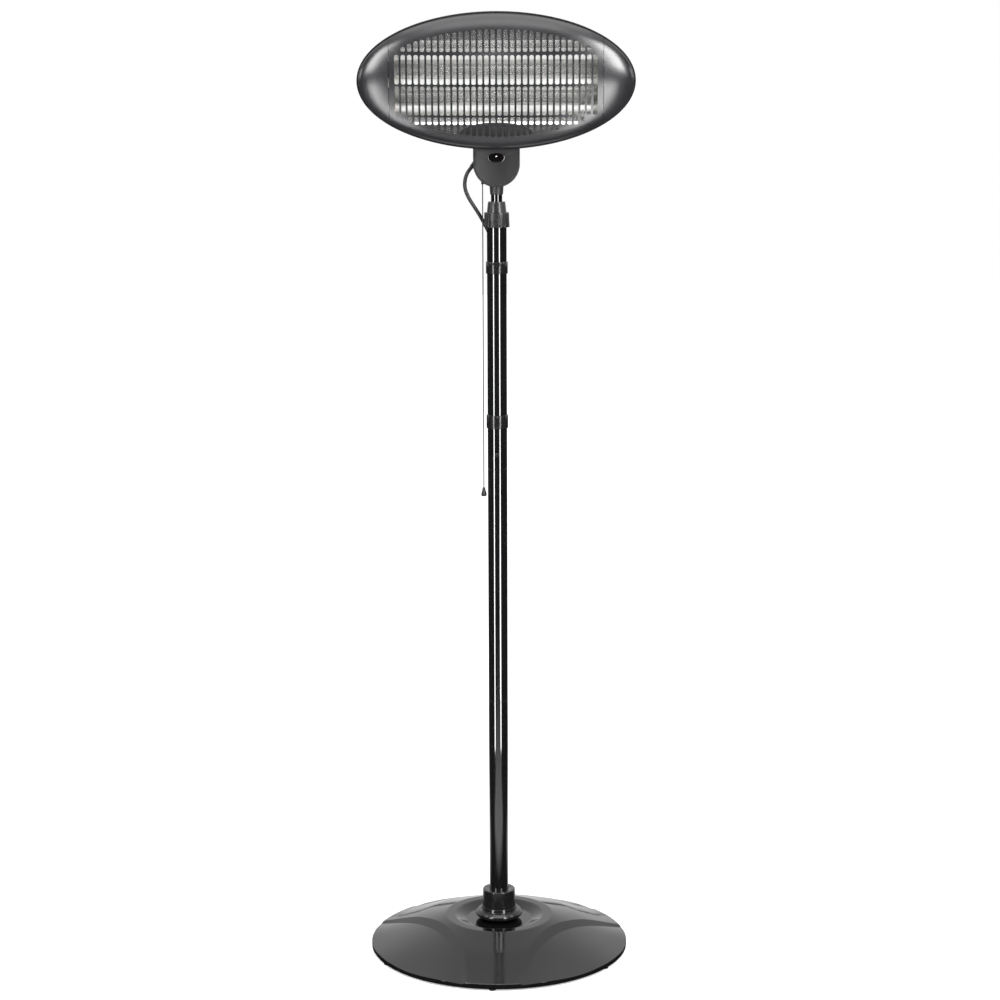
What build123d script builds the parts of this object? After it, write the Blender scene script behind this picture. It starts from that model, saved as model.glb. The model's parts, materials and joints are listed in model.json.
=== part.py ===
from build123d import *
from math import acos, atan2, cos, degrees, hypot, pi, radians, sin, sqrt, tan
import os

# An infrared patio heater tower: a weighted round base, a pole of three push-fit tubes,
# a telescopic tube held by a clamp nut, a switch box, and an oval heater head that tilts.
# The origin is on the floor, at the centre of the base. The front faces -Y.

os.makedirs("parts", exist_ok=True)

# ---------------------------------------------------------------- driving dimensions (mm)
fixed_gap = 0.15            # between round pieces that are fixed in one another
moving_gap = 0.3            # between pieces that move past one another
pivot_gap = 0.05            # between a pivot pin and its hole
sheet = 1.2                 # pressed steel sheet
thin_sheet = 0.8            # polished aluminium sheet of the reflector

# base
base_radius = 250
foot_height = 4             # rubber foot below the rim
foot_radius = 6.5
foot_neck_radius = 3
foot_count = 6
foot_inset = 8              # from the rim to a foot's middle
base_turn = -3              # the petals and feet are turned by this about the pole, in degrees
rim_top = 13.5              # height of the rim's upper edge
floor_radius, floor_height = 64, 54         # recessed centre that carries the flange
crest_radius, crest_height = 95, 63         # soft raised ring round it
crest_width = 18
rim_turn = 24               # width of the rim's inward turned edge
petal_count = 3
petal_arc = 420             # radius of a petal's outer arc
petal_near = 118            # its nearest distance from the pole's axis
petal_step = 15             # run of the sloping step inside that arc
petal_depth = 9             # deepest drop of the petal's floor
disc_radius, disc_bottom, disc_thickness = 165, 22, 6       # ballast disc
hub_radius = 30
bolt_radius = 5             # centre bolt, M10
bolt_hole_gap = 0.5
washer_radius, washer_height = 12, 2
bolt_head_height, bolt_head_width = 6.4, 16
plug_height = 34            # threaded plug in the pole's foot

# collar and flange
flange_foot_radius = 32.6
flange_radius, flange_height = 46.2, 19.5
flange_crown_radius = 40.5
ring_radius, ring_height = 34.4, 7          # step on the flange that the collar stands on
socket_radius, socket_length = 25, 23.5
collar_top_radius, collar_bottom_radius, collar_height = 31.4, 32.7, 34.5
collar_wall = 2

# pole
pole_radius = 18.4
tube_wall = 1.2
pole_bottom = 66
lower_joint = 497.4         # height where the middle tube stands on the lower one
upper_joint = 951.7
pole_top = 1421
spigot_length = 40
swage_length = 4            # below a joint the bore narrows to the spigot's over this length
screw_rise = 28             # pole screws above each joint
screw_shank = 2.1
screw_head_radius, screw_head_height = 4.2, 2.6

# telescopic tube, its guide bush and the clamp
slim_radius = 10.5
slim_bottom = 1040
slim_top = 1500
bead_radius, bead_height = 12.5, 3
bush_height = 50
bush_floor = 4
nut_bottom = 1409.3
grip_height = 26.9
grip_top_radius, grip_bottom_radius = 23, 24.2
cone_bottom_radius, cone_top_radius, cone_height = 18.35, 16.1, 19.8
rib_grooves = 14
groove_radius = 1.9

# cable clips on the pole
clip_wall = 1.9
upper_clip_bottom, upper_clip_height = 1322.3, 22.4
lower_clip_bottom, lower_clip_height = 1029.8, 24.9

# switch box
box_width = 86.8
box_bottom, box_top = 1483.4, 1556
box_front, box_split, box_back = -16, 8, 36
box_wall = 2
panel_border, panel_inset = 5, 1
lens_width, lens_height, lens_z = 31.5, 17.6, 1537.7
neck_bottom = 1469.6
neck_bottom_radius, neck_top_radius = 12, 13
pull_x, pull_y = -26, -5    # where the pull cord hangs
pull_radius = 1
lever_length = 14
bell_bottom, bell_height = 899, 16.5
bell_top_radius, bell_bottom_radius = 2.5, 5.4

# heater head, measured square to its face
head_width, head_height = 508, 250
head_y, head_z = -73, 1680  # centre of the rim's plane
rest_tilt = 6               # face turned down at rest, in degrees
pivot_y, pivot_z = 24, 1580 # tilt axis, along X
shell_depth = 62
rim_lip = 3                 # shell's edge stands this far forward of the rim's plane
bezel_inset = 3             # bezel's skirt inside the rim
crown_height = 40           # bezel's middle forward of the rim's plane
dome_edge_forward = 6       # where the dome turns into its skirt
seam_x, seam_gap = 194.7, 0.8
slot_pitch, slot_width = 11.6, 8
slot_columns = 32
grille_half_width, grille_half_height, grille_y = 228, 97, -1
bars = [(53, 5.5), (-4, 3), (-60, 3), (-77, 2.2)]   # height and width of each bar across the slots
slot_corner = 3.4
shortest_slot = 6
tube_spacing, tube_forward = 47.5, 4
tube_y = -2.5               # height of the middle tube
tube_radius, glass_wall = 6.5, 1.2
tube_length = 380
coil_radius = 3.2
ceramic_radius, ceramic_length, ceramic_depth = 8.5, 20, 8
trough_depth, cusp_forward = 20, 6
reflector_length = 370

# power cord
cord_radius = 3.5
cord_y = 25.5               # behind the pole
cord_meeting_z = 1347.8     # where the loop meets the run behind the pole
gland_y = 12


def turned(outline):
    """A piece turned about Z from a closed outline of (radius, height) points."""
    with BuildPart() as piece:
        with BuildSketch(Plane.XZ):
            with BuildLine():
                Polyline(*outline, close=True)
            make_face()
        revolve(axis=Axis.Z)
    return piece


# ================================================================ base
# The cover's outline falls from the crest to the rim in two slightly bent slopes.
outer_crest = crest_radius + crest_width / 2
inner_crest = crest_radius - crest_width / 2
slope_points = [
    (outer_crest, crest_height),
    (0.66 * base_radius, 0.70 * crest_height),
    (0.89 * base_radius, 0.36 * crest_height),
    (base_radius, rim_top),
]


def slope_height(radius):
    """Height of the cover's outer slope at a distance from the axis."""
    for (r0, z0), (r1, z1) in zip(slope_points, slope_points[1:]):
        if radius <= r1:
            return z0 + (z1 - z0) * (radius - r0) / (r1 - r0)
    return z1 + (z1 - z0) * (radius - r1) / (r1 - r0)


petal_centre = petal_near + petal_arc       # distance from the pole's axis to the centre of a petal's arc
reach_cosine = (petal_centre**2 + petal_arc**2 - base_radius**2) / (2 * petal_centre * petal_arc)
petal_reach = degrees(acos(reach_cosine)) + 3   # half the angle round that centre that a petal takes up


def petal_height(distance, angle, drop):
    """Height of the slope less a drop, at a distance and angle about a petal's own centre."""
    turn = radians(angle)
    radius = hypot(petal_centre - distance * cos(turn), distance * sin(turn))
    share = (base_radius - radius) / (base_radius - petal_near)
    return slope_height(radius) - drop * sqrt(max(share, 0))


def petal_section(angle, inward):
    """Upright section of a petal's recess, at an angle about the petal's centre."""
    turn = radians(angle)
    plane = Plane(
        origin=(petal_centre, 0, 0), x_dir=(-cos(turn), sin(turn), 0), z_dir=(sin(turn), cos(turn), 0),
    )
    edge = petal_arc + inward
    foot = edge - petal_step * (1 - 0.35 * (angle / petal_reach) ** 2)
    far = petal_centre - 1.03 * base_radius
    middle = (foot + far) / 2
    heights = [petal_height(place, angle, petal_depth) - inward for place in (foot, middle, far)]
    rise = petal_height(edge, angle, 0) - inward - heights[0]
    lift = 12                                   # carries the section clear of the cover
    spread = min(lift / rise, 2) * (edge - foot)
    with BuildSketch(plane) as section:
        with BuildLine():
            ThreePointArc((foot, heights[0]), (middle, heights[1]), (far, heights[2]))
            Polyline(
                (far, heights[2]), (far, 2 * crest_height), (edge + spread, heights[0] + rise + lift),
                (foot, heights[0]),
            )
        make_face()
    return section.sketch


def petal_recess(inward):
    """The space that one pressed petal takes out of the cover, lofted round the petal's centre."""
    with BuildPart() as recess:
        for share in (-1, -0.67, -0.33, 0, 0.33, 0.67, 1):
            add(petal_section(share * petal_reach, inward))
        loft()
    return recess.part


def cover_form(inward):
    """The cover's solid form, set inward from its outside by a thickness."""
    outline = [(0, floor_height), (floor_radius, floor_height), (inner_crest, crest_height)]
    outline += slope_points
    lowered = [(max(r - inward, 0) if r == base_radius else r, z - inward) for r, z in outline]
    rim = (base_radius - inward, foot_height + inward)
    with BuildPart() as form:
        with BuildSketch(Plane.XZ):
            with BuildLine():
                FilletPolyline(*lowered, rim, radius=[8, 12, 14, 300, 300, 3])
                Polyline(rim, (0, foot_height + inward), lowered[0])
            make_face()
        revolve(axis=Axis.Z)
        with PolarLocations(0, petal_count, start_angle=base_turn - 150):
            add(petal_recess(inward), mode=Mode.SUBTRACT)
    return form


with BuildPart() as base_cover:
    add(cover_form(0).part)
    add(cover_form(sheet).part, mode=Mode.SUBTRACT)
    with BuildSketch(Plane.XY):
        Circle(base_radius - rim_turn)
    extrude(amount=foot_height + 2 * sheet, mode=Mode.SUBTRACT)
    with BuildSketch(Plane.XY):
        with PolarLocations(base_radius - foot_inset, foot_count, start_angle=base_turn - 30):
            Circle(foot_neck_radius + fixed_gap)
    extrude(amount=foot_height + 2 * sheet, mode=Mode.SUBTRACT)
    with BuildSketch(Plane.XY.offset(foot_height + 2 * sheet)):
        Circle(bolt_radius + bolt_hole_gap)
    extrude(amount=crest_height, mode=Mode.SUBTRACT)
base_cover.part.label = "base_cover"
export_step(base_cover.part, "parts/base_cover.step")

# Ballast: a cast iron disc under the cover. Its hub meets the cover's underside.
disc_top = disc_bottom + disc_thickness
hub_top = floor_height - sheet
bolt_hole = bolt_radius + bolt_hole_gap
base_weight = turned([
    (bolt_hole, disc_bottom), (disc_radius, disc_bottom), (disc_radius, disc_top),
    (hub_radius, disc_top), (hub_radius, hub_top), (bolt_hole, hub_top),
])
base_weight.part.label = "base_weight"
export_step(base_weight.part, "parts/base_weight.step")

# Rubber feet: each is pushed up through the turned-in edge and held by its head.
with BuildPart() as base_feet:
    with PolarLocations(base_radius - foot_inset, foot_count, start_angle=base_turn - 30):
        Cylinder(foot_radius, foot_height, align=(Align.CENTER, Align.CENTER, Align.MIN))
        with Locations((0, 0, foot_height)):
            Cylinder(foot_neck_radius, sheet, align=(Align.CENTER, Align.CENTER, Align.MIN))
        with Locations((0, 0, foot_height + sheet)):
            Cylinder(0.7 * foot_radius, 2, align=(Align.CENTER, Align.CENTER, Align.MIN))
base_feet.part.label = "base_feet"
export_step(base_feet.part, "parts/base_feet.step")

# The centre bolt clamps ballast, cover and flange to the plug inside the pole.
washer_bottom = disc_bottom - washer_height
base_washer = turned([
    (bolt_radius + fixed_gap, washer_bottom), (washer_radius, washer_bottom),
    (washer_radius, disc_bottom), (bolt_radius + fixed_gap, disc_bottom),
])
base_washer.part.label = "base_washer"
export_step(base_washer.part, "parts/base_washer.step")

with BuildPart() as centre_bolt:
    with BuildSketch(Plane.XY.offset(washer_bottom - bolt_head_height)):
        RegularPolygon(bolt_head_width / 2, 6, major_radius=False)
    extrude(amount=bolt_head_height)
    with BuildSketch(Plane.XY.offset(washer_bottom)):
        Circle(bolt_radius)
    extrude(amount=pole_bottom + plug_height - 4 - washer_bottom)
centre_bolt.part.label = "centre_bolt"
export_step(centre_bolt.part, "parts/centre_bolt.step")

# ================================================================ flange, collar and pole
flange_top = floor_height + flange_height
ring_top = flange_top + ring_height
pole_seat_bore = pole_radius + fixed_gap
flange_side = [
    (flange_foot_radius, floor_height), (flange_radius - 1, floor_height + 0.45 * flange_height),
    (flange_radius, floor_height + 0.7 * flange_height), (flange_crown_radius, flange_top),
    (ring_radius, flange_top),
]
with BuildPart() as base_flange:
    with BuildSketch(Plane.XZ):
        with BuildLine():
            FilletPolyline(*flange_side, radius=[6, 3.5, 4])
            Polyline(
                (ring_radius, flange_top), (ring_radius, ring_top), (socket_radius, ring_top),
                (socket_radius, ring_top + socket_length), (pole_seat_bore, ring_top + socket_length),
                (pole_seat_bore, pole_bottom), (bolt_hole, pole_bottom), (bolt_hole, floor_height),
                (flange_foot_radius, floor_height),
            )
        make_face()
    revolve(axis=Axis.Z)
base_flange.part.label = "base_flange"
export_step(base_flange.part, "parts/base_flange.step")

collar_top = ring_top + collar_height
pole_collar = turned([
    (collar_bottom_radius - collar_wall, ring_top), (collar_bottom_radius, ring_top),
    (collar_top_radius, collar_top), (pole_seat_bore, collar_top),
    (pole_seat_bore, collar_top - collar_wall), (collar_top_radius - collar_wall, collar_top - collar_wall),
])
with BuildPart() as rounded_collar:
    add(pole_collar.part)
    rim_edges = rounded_collar.edges().filter_by(GeomType.CIRCLE).filter_by(
        lambda edge: abs(edge.radius - collar_top_radius) < 0.01)
    fillet(rim_edges, radius=1.7)
rounded_collar.part.label = "pole_collar"
export_step(rounded_collar.part, "parts/pole_collar.step")

# Threaded plug in the foot of the pole.
pole_bore = pole_radius - tube_wall
ledge = tube_wall / 2
pole_plug = turned([
    (bolt_radius + fixed_gap, pole_bottom), (pole_bore - fixed_gap, pole_bottom),
    (pole_bore - fixed_gap, pole_bottom + plug_height),
    (bolt_radius + fixed_gap, pole_bottom + plug_height),
])
pole_plug.part.label = "pole_plug"
export_step(pole_plug.part, "parts/pole_plug.step")


def pole_tube(bottom, top, has_spigot):
    """One pole section. Its swaged spigot goes up into the next section, which stands on its ledge."""
    spigot = pole_bore - fixed_gap
    outline = [(pole_bore, bottom), (pole_radius, bottom)]
    if has_spigot:
        outline += [
            (pole_radius, top - ledge), (pole_radius - ledge, top), (spigot, top),
            (spigot, top + spigot_length), (spigot - tube_wall, top + spigot_length),
            (spigot - tube_wall, top - swage_length), (pole_bore, top - 2 * swage_length),
        ]
    else:
        outline += [(pole_radius, top), (pole_bore, top)]
    return turned(outline)


def drill_front(tube, height):
    """The same tube with a screw hole through its front wall."""
    with BuildPart() as drilled:
        add(tube.part)
        with BuildSketch(Plane.XZ):
            with Locations((0, height)):
                Circle(screw_shank + fixed_gap)
        extrude(amount=pole_radius + 5, mode=Mode.SUBTRACT)
    return drilled


lower_screw = lower_joint + screw_rise
upper_screw = upper_joint + screw_rise
lower_pole = drill_front(pole_tube(pole_bottom, lower_joint, True), lower_screw)
lower_pole.part.label = "lower_pole"
export_step(lower_pole.part, "parts/lower_pole.step")

middle_pole = pole_tube(lower_joint, upper_joint, True)
middle_pole = drill_front(drill_front(middle_pole, lower_screw), upper_screw)
middle_pole.part.label = "middle_pole"
export_step(middle_pole.part, "parts/middle_pole.step")

upper_pole = drill_front(pole_tube(upper_joint, pole_top, False), upper_screw)
upper_pole.part.label = "upper_pole"
export_step(upper_pole.part, "parts/upper_pole.step")

with BuildPart() as pole_screws:
    for screw_z in (lower_screw, upper_screw):
        with BuildSketch(Plane.XZ.offset(pole_radius - 4 * tube_wall)):
            with Locations((0, screw_z)):
                Circle(screw_shank)
        extrude(amount=4 * tube_wall)
        with BuildSketch(Plane.XZ.offset(pole_radius)):
            with Locations((0, screw_z)):
                Circle(screw_head_radius)
        extrude(amount=screw_head_height)
pole_screws.part.label = "pole_screws"
export_step(pole_screws.part, "parts/pole_screws.step")

# ================================================================ telescopic tube and clamp
# The slim tube slides in the top of the pole. Its lower end turns in a guide bush.
slim_slide = slim_radius + moving_gap
telescopic_tube = turned([
    (slim_radius - tube_wall, slim_bottom), (bead_radius, slim_bottom),
    (bead_radius, slim_bottom + bead_height), (slim_radius, slim_bottom + bead_height),
    (slim_radius, slim_top), (slim_radius - tube_wall, slim_top),
])
telescopic_tube.part.label = "telescopic_tube"
export_step(telescopic_tube.part, "parts/telescopic_tube.step")

bush_bottom = slim_bottom - bush_floor
with BuildPart() as tube_bush:
    add(turned([
        (slim_radius - tube_wall, bush_bottom), (pole_bore - moving_gap, bush_bottom),
        (pole_bore - moving_gap, bush_bottom + bush_height),
        (slim_slide, bush_bottom + bush_height),
        (slim_slide, slim_bottom + bead_height + moving_gap),
        (bead_radius + moving_gap, slim_bottom + bead_height + moving_gap),
        (bead_radius + moving_gap, slim_bottom), (slim_radius - tube_wall, slim_bottom),
    ]).part)
    with BuildSketch(Plane.XY.offset(bush_bottom)):     # split, to snap round the tube's end
        with Locations((pole_bore, 0)):
            Rectangle(2 * pole_bore, 2)
    extrude(amount=bush_height, mode=Mode.SUBTRACT)
tube_bush.part.label = "tube_bush"
export_step(tube_bush.part, "parts/tube_bush.step")

# Clamp: a split collet pressed into the pole, squeezed by the nut's cone.
grip_top = nut_bottom + grip_height
nut_top = grip_top + cone_height
nut_bore = pole_radius + moving_gap + 0.2
collet_depth = 36
finger_foot = grip_top - 6
nose_bottom_radius, nose_top_radius = 15.6, 13.4
nose_top = nut_top - 5
with BuildPart() as clamp_collet:
    add(turned([
        (slim_slide, pole_top - collet_depth), (pole_bore - fixed_gap, pole_top - collet_depth),
        (pole_bore - fixed_gap, pole_top), (pole_radius, pole_top),
        (pole_radius, finger_foot), (nose_bottom_radius, finger_foot),
        (nose_bottom_radius, grip_top), (nose_top_radius, nose_top), (slim_slide, nose_top),
    ]).part)
    with BuildSketch(Plane.XY.offset(finger_foot - 4)):     # slots between the fingers
        with PolarLocations(pole_radius / 2, 4):
            Rectangle(pole_radius, 1.6)
    extrude(amount=nose_top, mode=Mode.SUBTRACT)
clamp_collet.part.label = "clamp_collet"
export_step(clamp_collet.part, "parts/clamp_collet.step")

with BuildPart() as clamp_nut:
    add(turned([
        (nut_bore, nut_bottom), (grip_bottom_radius, nut_bottom),
        (grip_top_radius, grip_top), (cone_bottom_radius, grip_top),
        (cone_top_radius, nut_top), (slim_slide + moving_gap, nut_top),
        (slim_slide + moving_gap, nose_top + moving_gap),
        (nose_top_radius + moving_gap, nose_top + moving_gap),
        (nose_bottom_radius + moving_gap, grip_top),
        (nose_bottom_radius + moving_gap, finger_foot + moving_gap),
        (nut_bore, finger_foot + moving_gap),
    ]).part)
    with BuildSketch(Plane.XY.offset(nut_bottom)):
        with PolarLocations(grip_bottom_radius + 0.3, rib_grooves):
            Circle(groove_radius)
    extrude(amount=grip_height - 2.5, mode=Mode.SUBTRACT)
clamp_nut.part.label = "clamp_nut"
export_step(clamp_nut.part, "parts/clamp_nut.step")


# Cable clips: a ring round the pole with an eye behind it for the cord.
def cable_clip(bottom, height):
    eye = cord_radius + moving_gap
    with BuildPart() as clip:
        with BuildSketch(Plane.XY.offset(bottom)):
            Circle(pole_seat_bore + clip_wall)
            with Locations((0, cord_y)):
                Circle(eye + clip_wall)
            with Locations((0, (pole_radius + cord_y) / 2)):
                Rectangle(2 * (eye + clip_wall), cord_y - pole_radius)
            Circle(pole_seat_bore, mode=Mode.SUBTRACT)
            with Locations((0, cord_y)):
                Circle(eye, mode=Mode.SUBTRACT)
        extrude(amount=height)
    return clip


cable_clip_upper = cable_clip(upper_clip_bottom, upper_clip_height)
cable_clip_upper.part.label = "cable_clip_upper"
export_step(cable_clip_upper.part, "parts/cable_clip_upper.step")

cable_clip_lower = cable_clip(lower_clip_bottom, lower_clip_height)
cable_clip_lower.part.label = "cable_clip_lower"
export_step(cable_clip_lower.part, "parts/cable_clip_lower.step")

# ================================================================ switch box
# Seen from the front the box is a U: straight sides over a half round.
box_arc_z = box_bottom + box_width / 2


def box_block(inset, top, front, back):
    """The box's outline, set in from its walls, as a solid between two depths."""
    half = box_width / 2 - inset
    with BuildPart() as block:
        with BuildSketch(Plane.XZ.offset(-back)):
            with BuildLine():
                Polyline((-half, box_arc_z), (-half, top), (half, top), (half, box_arc_z))
                ThreePointArc((half, box_arc_z), (0, box_arc_z - half), (-half, box_arc_z))
            make_face()
        extrude(amount=back - front)
    return block.part


# Inside the box: the neck socket that holds the slim tube.
neck_top = slim_top
neck_wall_bore = slim_radius + fixed_gap
neck_socket = turned([
    (neck_wall_bore, neck_bottom), (neck_bottom_radius, neck_bottom),
    (neck_top_radius, box_bottom), (neck_top_radius, neck_top), (neck_wall_bore, neck_top),
])
neck_socket.part.label = "neck_socket"
export_step(neck_socket.part, "parts/neck_socket.step")

# Three screws from behind join the two halves at posts in the front half.
post_radius = 4
box_screw_radius = 1.5
box_screw_head = 3.2
upper_post_x = box_width / 2 - box_wall - post_radius - 1.5
upper_post_z = box_top - box_wall - post_radius - 2
lower_post_x, lower_post_z = 24, 1505
post_places = [(-upper_post_x, upper_post_z), (upper_post_x, upper_post_z), (lower_post_x, lower_post_z)]
eyelet_radius, eyelet_bottom, eyelet_top = 2.6, 1488.5, 1496

# The power cord's gland sits low on the left side, across the joint of the two halves.
cord_end_x, cord_end_z = -46.5, 1519.3      # mouth of the gland
gland_angle = 50                            # below the horizontal, outwards
gland_length = 22
gland_root_radius, gland_tip_radius = 5.4, 4.3
gland_direction = Vector(-cos(radians(gland_angle)), 0, -sin(radians(gland_angle)))
gland_mouth = Vector(cord_end_x, gland_y, cord_end_z)
gland_root = gland_mouth - gland_direction * gland_length

with BuildPart() as box_front_cover:
    add(box_block(0, box_top, box_front, box_split))
    fillet(box_front_cover.faces().sort_by(Axis.Y)[0].edges(), radius=1.5)
    add(box_block(box_wall, box_top - box_wall, box_front + box_wall, box_split), mode=Mode.SUBTRACT)
    add(
        box_block(panel_border, box_top - panel_border, box_front, box_front + panel_inset),
        mode=Mode.SUBTRACT,
    )
    with BuildSketch(Plane.XZ.offset(-(box_back - box_wall))):
        with Locations(*post_places):
            Circle(post_radius)
    extrude(amount=box_back - 2 * box_wall - box_front)
    with BuildSketch(Plane.XZ.offset(-(box_back - box_wall))):
        with Locations(*post_places):
            Circle(box_screw_radius + fixed_gap)
    extrude(amount=box_back - box_wall - box_split, mode=Mode.SUBTRACT)
    with BuildSketch(Plane.XY.offset(neck_bottom)):
        Circle(neck_top_radius + fixed_gap)
        with Locations((pull_x, pull_y)):
            Circle(eyelet_radius + fixed_gap)
    extrude(amount=neck_top - neck_bottom, mode=Mode.SUBTRACT)
    with BuildSketch(Plane.XZ.offset(-box_front - box_wall)):
        with Locations((0, lens_z)):
            Ellipse(lens_width / 2 - 1, lens_height / 2 - 1)
    extrude(amount=box_wall, mode=Mode.SUBTRACT)
    with BuildSketch(Plane(origin=gland_root, z_dir=gland_direction)):
        Circle(gland_root_radius + fixed_gap)
    extrude(amount=gland_length, mode=Mode.SUBTRACT)
box_front_cover.part.label = "box_front_cover"
export_step(box_front_cover.part, "parts/box_front_cover.step")

# Rear half, with the two ears of the tilt hinge on its top.
ear_inner, ear_outer = 22, 30
ear_radius = 10
tilt_bolt_radius = 3

with BuildPart() as box_rear_housing:
    add(box_block(0, box_top, box_split, box_back))
    fillet(box_rear_housing.faces().sort_by(Axis.Y)[-1].edges(), radius=4)
    add(box_block(box_wall, box_top - box_wall, box_split, box_back - box_wall), mode=Mode.SUBTRACT)
    with BuildSketch(Plane.YZ.offset(ear_inner)):
        with Locations((pivot_y, pivot_z)):
            Circle(ear_radius)
        with Locations((pivot_y, (pivot_z + box_top - box_wall) / 2)):
            Rectangle(2 * ear_radius, pivot_z - box_top + box_wall)
    extrude(amount=ear_outer - ear_inner)
    with BuildSketch(Plane.YZ.offset(-ear_outer)):
        with Locations((pivot_y, pivot_z)):
            Circle(ear_radius)
        with Locations((pivot_y, (pivot_z + box_top - box_wall) / 2)):
            Rectangle(2 * ear_radius, pivot_z - box_top + box_wall)
    extrude(amount=ear_outer - ear_inner)
    with BuildSketch(Plane.YZ.offset(-ear_outer)):
        with Locations((pivot_y, pivot_z)):
            Circle(tilt_bolt_radius + pivot_gap)
    extrude(amount=2 * ear_outer, mode=Mode.SUBTRACT)
    with BuildSketch(Plane.XZ.offset(-box_back)):
        with Locations(*post_places):
            Circle(box_screw_radius + fixed_gap)
    extrude(amount=box_wall, mode=Mode.SUBTRACT)
    with BuildSketch(Plane.XY.offset(neck_bottom)):
        Circle(neck_top_radius + fixed_gap)
    extrude(amount=neck_top - neck_bottom, mode=Mode.SUBTRACT)
    with BuildSketch(Plane(origin=gland_root, z_dir=gland_direction)):
        Circle(gland_root_radius + fixed_gap)
    extrude(amount=gland_length, mode=Mode.SUBTRACT)
box_rear_housing.part.label = "box_rear_housing"
export_step(box_rear_housing.part, "parts/box_rear_housing.step")

with BuildPart() as box_screws:
    with BuildSketch(Plane.XZ.offset(-box_back)):
        with Locations(*post_places):
            Circle(box_screw_radius)
    extrude(amount=box_back - box_split - 4)
    with BuildSketch(Plane.XZ.offset(-box_back)):
        with Locations(*post_places):
            Circle(box_screw_head)
    extrude(amount=-2)
box_screws.part.label = "box_screws"
export_step(box_screws.part, "parts/box_screws.step")

with BuildPart() as cord_gland:
    with BuildSketch(Plane(origin=gland_root, z_dir=gland_direction)):
        Circle(gland_root_radius)
    with BuildSketch(Plane(origin=gland_mouth, z_dir=gland_direction)):
        Circle(gland_tip_radius)
    loft()
    with BuildSketch(Plane(origin=gland_root, z_dir=gland_direction)):
        Circle(cord_radius + fixed_gap)
    extrude(amount=gland_length, mode=Mode.SUBTRACT)
cord_gland.part.label = "cord_gland"
export_step(cord_gland.part, "parts/cord_gland.step")

# Oval lens of the indicator lamp: a low dome on a shank.
lens_dome = 1.6
with BuildPart() as indicator_lens:
    with BuildSketch(Plane.XZ.offset(-box_front - panel_inset)):
        with Locations((0, lens_z)):
            Ellipse(lens_width / 2, lens_height / 2)
    extrude(amount=lens_dome)
    fillet(indicator_lens.faces().sort_by(Axis.Y)[0].edges(), radius=1.3)
    with BuildSketch(Plane.XZ.offset(-box_front - panel_inset)):
        with Locations((0, lens_z)):
            Ellipse(lens_width / 2 - 1 - fixed_gap, lens_height / 2 - 1 - fixed_gap)
    extrude(amount=-box_wall)
indicator_lens.part.label = "indicator_lens"
export_step(indicator_lens.part, "parts/indicator_lens.step")

# Pull switch, with a lug that carries the lever's pin.
switch_width, switch_depth, switch_height = 20, 20, 26
switch_bottom = 1513
lever_pivot_x, lever_pivot_z = pull_x + lever_length, 1508
lever_thick, lever_depth = 3.3, 3.6
lever_gap = 0.5             # between the lever and the pull cord's upper end
pin_radius = 1.2
lug_front = pull_y + lever_thick / 2 + moving_gap
lug_thick = 3
with BuildPart() as pull_switch:
    with Locations((pull_x, box_front + box_wall, switch_bottom)):
        Box(switch_width, switch_depth, switch_height, align=(Align.CENTER, Align.MIN, Align.MIN))
    with BuildSketch(Plane.XZ.offset(-lug_front - lug_thick)):
        with Locations((lever_pivot_x, lever_pivot_z)):
            Circle(3.5)
        with Locations((lever_pivot_x - 2, (lever_pivot_z + switch_bottom + 4) / 2)):
            Rectangle(11, switch_bottom + 4 - lever_pivot_z)
    extrude(amount=lug_thick)
    with BuildSketch(Plane.XZ.offset(-lug_front)):
        with Locations((lever_pivot_x, lever_pivot_z)):
            Circle(pin_radius)
    extrude(amount=lever_thick + 2 * moving_gap + 0.6)
pull_switch.part.label = "pull_switch"
export_step(pull_switch.part, "parts/pull_switch.step")

with BuildPart() as switch_lever:
    with BuildSketch(Plane.XZ.offset(-pull_y - lever_thick / 2)):
        with Locations((lever_pivot_x, lever_pivot_z)):
            Circle(3)
        with Locations(((lever_pivot_x + pull_x) / 2, lever_pivot_z)):
            SlotCenterToCenter(lever_length, lever_depth)
        with Locations((lever_pivot_x, lever_pivot_z)):
            Circle(pin_radius + pivot_gap, mode=Mode.SUBTRACT)
    extrude(amount=lever_thick)
switch_lever.part.label = "switch_lever"
export_step(switch_lever.part, "parts/switch_lever.step")

with BuildPart() as terminal_block:
    block_width, block_depth, block_height = 32, 16, 14
    with Locations((18, box_back - box_wall, 1514)):
        Box(block_width, block_depth, block_height, align=(Align.CENTER, Align.MAX, Align.MIN))
    with Locations((18, box_back - box_wall - block_depth, 1514 + block_height / 2)):
        with GridLocations(9, 1, 3, 1):
            Box(5, 6, 7)
terminal_block.part.label = "terminal_block"
export_step(terminal_block.part, "parts/terminal_block.step")

with BuildPart() as pull_cord_eyelet:
    with BuildSketch(Plane.XY.offset(eyelet_bottom)):
        with Locations((pull_x, pull_y)):
            Circle(eyelet_radius)
            Circle(pull_radius + moving_gap + 0.1, mode=Mode.SUBTRACT)
    extrude(amount=eyelet_top - eyelet_bottom)
pull_cord_eyelet.part.label = "pull_cord_eyelet"
export_step(pull_cord_eyelet.part, "parts/pull_cord_eyelet.step")

# The pull cord hangs straight from the lever, with a small bell at its end.
bell_top = bell_bottom + bell_height
with BuildPart() as pull_cord:
    with BuildSketch(Plane.XY.offset(bell_top)):
        with Locations((pull_x, pull_y)):
            Circle(pull_radius)
    extrude(amount=lever_pivot_z - lever_depth / 2 - lever_gap - bell_top)
pull_cord.part.label = "pull_cord"
export_step(pull_cord.part, "parts/pull_cord.step")

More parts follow.
